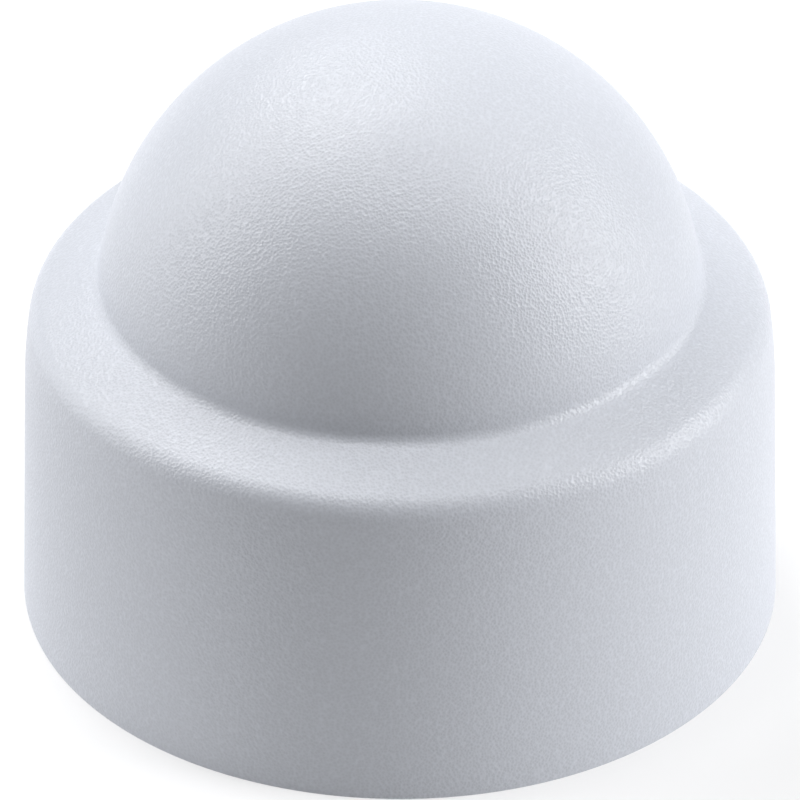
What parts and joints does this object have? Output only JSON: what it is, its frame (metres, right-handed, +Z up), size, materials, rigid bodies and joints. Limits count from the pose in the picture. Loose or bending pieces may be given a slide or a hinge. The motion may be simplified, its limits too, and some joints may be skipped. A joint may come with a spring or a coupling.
{
  "type": "lug nut cap",
  "caption": "Domed one-piece press-on cap for a hexagonal wheel nut, with a drafted skirt, sloping shoulder and ribbed hexagon socket.",
  "frame": {"origin": "middle of the rim, on the plane that the cap stands on", "axes": "+Z up the cap's axis through the top of the dome; one flat of the hexagon socket faces +X"},
  "size_m": [0.0254, 0.0254, 0.0211],
  "materials": {
    "moulded_polyethylene": "pale cool grey, fine matt spark-eroded grain all over"
  },
  "bodies": {
    "root": {"cap": "moulded_polyethylene"}
  },
  "joints": []
}
